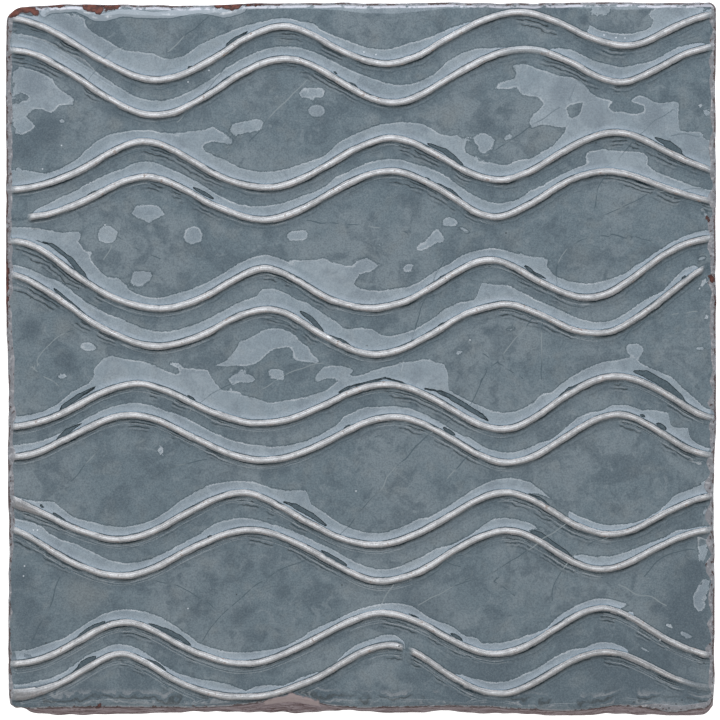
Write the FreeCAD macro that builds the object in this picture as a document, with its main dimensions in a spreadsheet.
import FreeCAD, Part
import math
import os
import Sketcher

# Handmade relief tile, fired in one piece, lying on its back with the glazed face up.
# X runs along the near edge, Y towards the far edge and Z up. The origin is the middle of the back.
# Twelve raised ridges run across the face in six pairs of waves. The waves of neighbouring pairs
# mirror each other: where one pair dips, the next one swells. All sizes are in millimetres.

SIZES = [
    ("tile_width", 150.4, "along the far edge, the longer one"),
    ("tile_length", 151.0, "from the near edge to the far edge"),
    ("thickness", 10.0, "back to face, without the ridges"),
    ("near_draw_in", 0.9, "each side leans in by this much at the near edge"),
    ("far_left_drop", 0.6, "the far edge was cut a little out of square"),
    ("corner_cut_along", 9.0, "slanting cut at the near left corner, along the near edge"),
    ("corner_cut_up", 2.2, "the same cut, up the left side"),
    ("far_left_round", 3.0, "corner radius"),
    ("far_right_round", 1.7, "corner radius"),
    ("near_right_round", 4.0, "corner radius"),
    ("near_left_round", 1.7, "corner radius"),
    ("side_set_back", 0.5, "how far the face stands back from the foot: left, right and far side"),
    ("near_set_back", 1.7, "the same at the near side, which was cut at a slant"),
    ("rim_roll", 1.2, "radius of the rolled rim round the face"),
    ("half_wave", 25.0, "from a crest of a wave to its next trough, along X"),
    ("wave_height", 9.5, "from trough to crest, along Y"),
    ("pair_pitch", 25.0, "from one pair of ridges to the next, along Y"),
    ("pair_gap", 7.8, "between the two ridges of a pair, along Y"),
    ("first_turn", 29.0, "from the left side to the first whole turn of the waves"),
    ("pattern_up", -0.05, "how far the whole pattern sits towards the far edge"),
    ("ridge_height", 0.75, "ridge above the face"),
    ("ridge_foot", 2.0, "width of a ridge where it leaves the face"),
    ("ridge_shoulder", 1.15, "width of a ridge at its shoulders"),
    ("ridge_crest", 0.5, "width of the flat along the very top of a ridge"),
    ("crown_rise", 0.14, "height of the crest above the shoulders"),
    ("ridge_margin", 0.9, "the ridges stop this far inside the edge of the face"),
    ("ridge_end_roll", 1.9, "radius with which the ends of the ridges drop to the rim"),
    ("late_start", 5.3, "one ridge starts this far inside the left side"),
    ("break_from_right", 64.7, "one ridge is broken this far from the right side"),
    ("break_length", 2.1, "length of that break"),
]

# How the maker's hand strayed from even waves, one row for each ridge from the far edge to the near
# one. Each turn of a ridge has three values: how far it lies to the right of its even place, how far
# towards the far edge, and how far the line leans to the right halfway to the next turn.
STRAYS = [
    [(-2.9, 0.7, -0.4), (3.8, -2.8, -0.6), (5.9, -1.1, -2.9), (3.9, 0.9, -2.4), (5.9, 1.9, -0.6),
     (2.0, 4.4, -0.4), (-2.5, 2.0, 0.0)],
    [(-0.8, 1.6, -0.5), (2.7, -2.5, -0.5), (5.9, -0.1, -0.6), (3.4, 0.2, -2.3), (7.4, 1.9, 0.2),
     (0.6, 4.5, -1.5), (-1.9, 2.7, 0.0)],
    [(-2.9, -1.0, 2.6), (0.0, -0.3, -2.1), (2.5, -0.5, 0.3), (1.8, 0.3, 0.6), (0.0, 1.0, -0.2),
     (-0.1, 1.5, 0.0), (0.3, 1.4, 0.0)],
    [(0.3, 0.8, 1.4), (0.6, 0.0, -1.2), (1.6, 0.5, -0.4), (2.4, 1.2, 1.0), (-0.4, 1.0, -1.5),
     (-1.5, 1.1, -0.6), (-1.8, 4.1, 0.0)],
    [(0.6, 3.1, -2.7), (2.7, -1.2, 2.0), (1.0, -2.1, -2.6), (-0.1, -1.0, 0.8), (-1.9, -0.4, -2.3),
     (-3.2, 1.6, -1.0), (-6.8, 4.0, 0.0)],
    [(-3.3, 4.4, -1.8), (3.4, -1.3, 0.1), (2.5, -3.1, -1.6), (-0.1, -3.0, -1.0), (2.1, -2.0, -0.6),
     (-3.9, 1.4, 0.4), (-1.8, 6.9, 0.0)],
    [(-1.8, -1.1, 0.8), (-2.2, -1.6, -0.9), (1.0, -0.4, 0.4), (0.9, -1.6, 0.2), (2.3, -1.5, -1.2),
     (-0.1, 0.0, 1.4), (-3.9, 0.6, 0.0)],
    [(-0.4, 0.5, -0.9), (-2.1, -0.3, -1.0), (0.6, -0.4, 1.2), (2.0, -0.8, 1.1), (2.3, -0.9, -1.0),
     (2.0, -0.5, -0.3), (-5.4, 0.8, 0.0)],
    [(-7.1, 0.5, -2.0), (-3.8, 0.1, -0.8), (-3.2, 0.3, -2.3), (0.3, -1.0, -0.2), (2.7, 0.4, 0.1),
     (-2.6, 1.1, 1.0), (-5.0, -0.3, 0.0)],
    [(-5.0, 0.9, -2.1), (-3.2, 0.2, -1.0), (-2.6, 0.3, 0.8), (1.3, -0.9, -1.3), (4.2, 0.0, -1.1),
     (-2.8, 1.5, -0.8), (-5.0, 0.3, 0.0)],
    [(-0.4, -1.2, 0.5), (-4.4, -2.0, -1.6), (-2.8, -1.1, -0.1), (1.5, -0.1, 0.4), (-1.1, 0.9, 0.6),
     (-2.4, 1.0, -0.9), (-4.6, 0.6, 0.0)],
    [(-1.8, 0.0, 1.7), (-4.9, -0.9, -3.4), (-2.8, -0.4, 1.8), (3.0, 1.0, -1.6), (1.7, 0.4, -1.4),
     (-1.5, -0.5, -0.4), (-5.0, 1.5, 0.0)],
]
LATE_RIDGE = 3      # the fourth ridge starts late
BROKEN_RIDGE = 11   # the last ridge is broken near its middle

OVERRUN = 3.0       # the ridges are laid past the sides before they are trimmed
ROOT_DEPTH = 1.8    # how deep a ridge is rooted in the clay, so that it also meets the rolled rim
TRIM_CLEAR = 0.3    # the trimming block clears the crowns of the ridges
KNIFE_CLEAR = 5.0   # the slanting cut reaches this far past the near side
SWEEP_TOLERANCE = 0.001   # how closely a ridge's faces follow its middle line
SPAN_PIECES = 2           # the most pieces of face for each span of that line, to keep it light


def make_sheet(doc):
    sheet = doc.addObject("Spreadsheet::Sheet", "sizes")
    for row, (name, value, meaning) in enumerate(SIZES, start=1):
        sheet.set("A%d" % row, name)
        sheet.set("B%d" % row, str(value))
        sheet.set("C%d" % row, meaning)
        sheet.setAlias("B%d" % row, name)
    doc.recompute()
    return sheet


def outline_corners(side_inset, near_inset):
    """Corners of the tile's outline as formulas of the sheet, counter-clockwise from the far left."""
    half_width = "sizes.tile_width / 2 - (%s)" % side_inset
    far = "sizes.tile_length / 2 - (%s)" % side_inset
    near = "-sizes.tile_length / 2 + (%s)" % near_inset
    near_half = "%s - sizes.near_draw_in" % half_width
    return [
        ("-(%s)" % half_width, "%s - sizes.far_left_drop" % far),
        ("-(%s)" % near_half, "%s + sizes.corner_cut_up" % near),
        ("-(%s) + sizes.corner_cut_along" % near_half, near),
        (near_half, near),
        (half_width, far),
    ]


def polygon_sketch(body, name, plane_role, corners):
    """A closed outline on one of the body's own planes, each corner held by two formulas."""
    sketch = body.newObject("Sketcher::SketchObject", name)
    planes = [item for item in body.Origin.OriginFeatures if item.Role == plane_role]
    sketch.AttachmentSupport = (planes[0], [""])
    sketch.MapMode = "FlatFace"
    count = len(corners)
    for index in range(count):
        turn = 2 * math.pi * index / count
        next_turn = turn + 2 * math.pi / count
        start = FreeCAD.Vector(-math.sin(turn), math.cos(turn), 0)
        end = FreeCAD.Vector(-math.sin(next_turn), math.cos(next_turn), 0)
        sketch.addGeometry(Part.LineSegment(start, end), False)
    for index in range(count):
        sketch.addConstraint(Sketcher.Constraint("Coincident", index, 2, (index + 1) % count, 1))
    for index, (across, along) in enumerate(corners):
        for kind, formula in (("DistanceX", across), ("DistanceY", along)):
            number = sketch.addConstraint(Sketcher.Constraint(kind, -1, 1, index, 1, 1.0))
            label = "%s_%d" % (kind, index)
            sketch.renameConstraint(number, label)
            sketch.setExpression("Constraints." + label, formula)
    return sketch


# The radius of each corner, in the order of outline_corners: the cut at the near left has two.
CORNER_ROUNDS = ["far_left_round", "near_left_round", "near_left_round", "near_right_round",
                 "far_right_round"]


def edges_at(shape, point):
    """Names of the upright edges that start at this corner of the foot."""
    names = []
    for number, edge in enumerate(shape.Edges, start=1):
        ends = [vertex.Point for vertex in edge.Vertexes]
        upright = abs(ends[0].z - ends[-1].z) > 1.0
        if upright and min(end.distanceToPoint(point) for end in ends) < 0.01:
            names.append("Edge%d" % number)
    return names


def edges_round_the_top(shape):
    top = max(vertex.Z for vertex in shape.Vertexes)
    return ["Edge%d" % number for number, edge in enumerate(shape.Edges, start=1)
            if min(vertex.Z for vertex in edge.Vertexes) > top - 0.01]


def round_edges(body, last, name, edges, radius):
    rounded = body.newObject("PartDesign::Fillet", name)
    rounded.Base = (last, edges)
    rounded.setExpression("Radius", radius)
    body.Tip = rounded
    body.Document.recompute()
    return rounded


def make_slab(doc):
    """The clay slab: sides that lean in, a near side cut at a slant, rounded corners, rolled rim."""
    body = doc.addObject("PartDesign::Body", "clay_slab")
    outline = polygon_sketch(body, "slab_outline", "XY_Plane", outline_corners("0", "0"))
    block = body.newObject("PartDesign::Pad", "slab_block")
    block.Profile = outline
    block.setExpression("Length", "sizes.thickness")
    block.setExpression("TaperAngle", "-atan(sizes.side_set_back / sizes.thickness)")
    doc.recompute()

    foot = "-sizes.tile_length / 2"
    knife = polygon_sketch(body, "slanting_cut_outline", "YZ_Plane", [
        (foot, "0"),
        ("%s - %g" % (foot, KNIFE_CLEAR), "0"),
        ("%s - %g" % (foot, KNIFE_CLEAR), "sizes.thickness"),
        ("%s + sizes.near_set_back" % foot, "sizes.thickness"),
    ])
    cut = body.newObject("PartDesign::Pocket", "slanting_cut")
    cut.Profile = knife
    cut.Type = "ThroughAll"
    cut.Midplane = True
    doc.recompute()
    if cut.Shape.Volume >= block.Shape.Volume:
        raise RuntimeError("the slanting cut took nothing off the near side")

    last = cut
    for index, radius in enumerate(CORNER_ROUNDS):
        edges = edges_at(last.Shape, outline.Geometry[index].StartPoint)
        last = round_edges(body, last, "slab_corner_%d" % index, edges, "sizes." + radius)
    round_edges(body, last, "slab_rim", edges_round_the_top(last.Shape), "sizes.rim_roll")
    return body


def make_trimming_block(doc):
    """The space that the ridges may fill: they end inside the rim and drop to it in a curve."""
    body = doc.addObject("PartDesign::Body", "trimming_block")
    corners = outline_corners("sizes.side_set_back + sizes.ridge_margin",
                              "sizes.near_set_back + sizes.ridge_margin")
    block = body.newObject("PartDesign::Pad", "trim_block")
    block.Profile = polygon_sketch(body, "trim_outline", "XY_Plane", corners)
    block.setExpression("Length", "sizes.thickness + sizes.ridge_height + %g" % TRIM_CLEAR)
    doc.recompute()
    round_edges(body, block, "trim_rim", edges_round_the_top(block.Shape), "sizes.ridge_end_roll")
    return body


def ridge_line(size, number):
    """The middle line of one ridge: a smooth curve through its turns and its halfway points."""
    pair, second = divmod(number, 2)
    pairs = pair_count(size)
    middle = size.pattern_up + (0.5 * (pairs - 1) - pair) * size.pair_pitch
    middle += 0.5 * size.pair_gap * (1 - 2 * second)
    strays = STRAYS[number % len(STRAYS)]
    left = -0.5 * size.tile_width
    right = 0.5 * size.tile_width
    turn_count = int((size.tile_width - size.first_turn) / size.half_wave) + 3
    turns = []
    for turn in range(turn_count):
        across, up, lean = strays[turn % len(strays)]
        swing = 1 if (turn + pair) % 2 == 0 else -1
        x = left + size.first_turn + (turn - 1) * size.half_wave + across
        y = middle + 0.5 * swing * size.wave_height + up
        turns.append((x, y, lean))
    points = []
    for (x, y, lean), (next_x, next_y, _) in zip(turns, turns[1:]):
        points.append((x, y))
        points.append((0.5 * (x + next_x) + lean, 0.5 * (y + next_y)))
    points.append(turns[-1][:2])
    if points[0][0] > left - OVERRUN:
        points.insert(0, (left - OVERRUN, points[0][1]))
    if points[-1][0] < right + OVERRUN:
        points.append((right + OVERRUN, points[-1][1]))
    curve = Part.BSplineCurve()
    curve.interpolate([FreeCAD.Vector(x, y, size.thickness) for x, y in points])
    return curve


def pair_count(size):
    return int(size.tile_length / size.pair_pitch)


def crossing(curve, x):
    """The curve's parameter where the ridge passes this place across the tile."""
    low, high = curve.FirstParameter, curve.LastParameter
    for _ in range(60):
        middle = 0.5 * (low + high)
        if curve.value(middle).x < x:
            low = middle
        else:
            high = middle
    return low


def ridge_profile(size, start, direction):
    """The ridge's section: sloping flanks, rooted in the clay, and a crown that falls to shoulders."""
    sideways = FreeCAD.Vector(-direction.y, direction.x, 0).normalize()
    upward = FreeCAD.Vector(0, 0, 1)

    def place(across, up):
        return start + sideways * across + upward * up

    shoulder_height = size.ridge_height - size.crown_rise
    half_crest = 0.5 * size.ridge_crest
    half_shoulder = 0.5 * size.ridge_shoulder
    half_foot = 0.5 * size.ridge_foot
    half_root = half_foot + (half_foot - half_shoulder) * ROOT_DEPTH / shoulder_height
    right_side = [
        (half_crest, size.ridge_height),
        (half_shoulder, shoulder_height),
        (half_root, -ROOT_DEPTH),
    ]
    left_side = [(-across, up) for across, up in reversed(right_side)]
    corners = [place(across, up) for across, up in right_side + left_side]
    return Part.makePolygon(corners + corners[:1])


def swept_ridge(size, curve, first, last):
    path = Part.Wire([curve.toShape(first, last)])
    profile = ridge_profile(size, curve.value(first), curve.tangent(first)[0])
    sweep = Part.BRepOffsetAPI.MakePipeShell(path)
    sweep.setBiNormalMode(FreeCAD.Vector(0, 0, 1))
    sweep.setTolerance(SWEEP_TOLERANCE, SWEEP_TOLERANCE, SWEEP_TOLERANCE)
    sweep.setMaxSegments(SPAN_PIECES * (curve.NbKnots - 1))
    sweep.add(profile)
    sweep.build()
    sweep.makeSolid()
    return sweep.shape()


def make_ridges(doc, size):
    """One object for each stretch of ridge, made from the sheet's sizes."""
    ridges = []
    for number in range(2 * pair_count(size)):
        curve = ridge_line(size, number)
        first = curve.FirstParameter
        last = curve.LastParameter
        if number == LATE_RIDGE:
            first = crossing(curve, -0.5 * size.tile_width + size.late_start)
        stretches = [(first, last)]
        if number == BROKEN_RIDGE:
            break_x = 0.5 * size.tile_width - size.break_from_right
            break_start = crossing(curve, break_x - 0.5 * size.break_length)
            break_end = crossing(curve, break_x + 0.5 * size.break_length)
            stretches = [(first, break_start), (break_end, last)]
        for start, end in stretches:
            ridge = doc.addObject("Part::Feature", "ridge_%d" % (len(ridges) + 1))
            ridge.Shape = swept_ridge(size, curve, start, end)
            ridges.append(ridge)
    return ridges


def check(doc, shape):
    for item in doc.Objects:
        if "Invalid" in item.State or "Error" in item.State:
            raise RuntimeError("%s failed: %s" % (item.Name, item.State))
    if shape.isNull() or not shape.isValid() or len(shape.Solids) != 1:
        raise RuntimeError("the tile isn't one valid solid")


class Sizes:
    """The sheet's values by name, for the shapes that are made in code."""

    def __init__(self, sheet):
        for name, _, _ in SIZES:
            setattr(self, name, float(sheet.get(name)))


def main():
    doc = FreeCAD.newDocument("handmade_tile")
    sheet = make_sheet(doc)
    size = Sizes(sheet)

    clay = make_slab(doc)
    trim = make_trimming_block(doc)
    laid = doc.addObject("Part::MultiFuse", "laid_ridges")
    laid.Shapes = make_ridges(doc, size)
    trimmed = doc.addObject("Part::MultiCommon", "trimmed_ridges")
    trimmed.Shapes = [laid, trim]
    tile = doc.addObject("Part::MultiFuse", "tile")
    tile.Label = "tile"
    tile.Shapes = [clay, trimmed]
    tile.Placement = FreeCAD.Placement()
    doc.recompute()

    shape = tile.Shape
    check(doc, shape)
    print("clay slab %.0f mm3, with its ridges %.0f mm3, %d faces"
          % (clay.Shape.Volume, shape.Volume, len(shape.Faces)))
    os.makedirs("parts", exist_ok=True)
    shape.exportStep("parts/tile.step")


main()
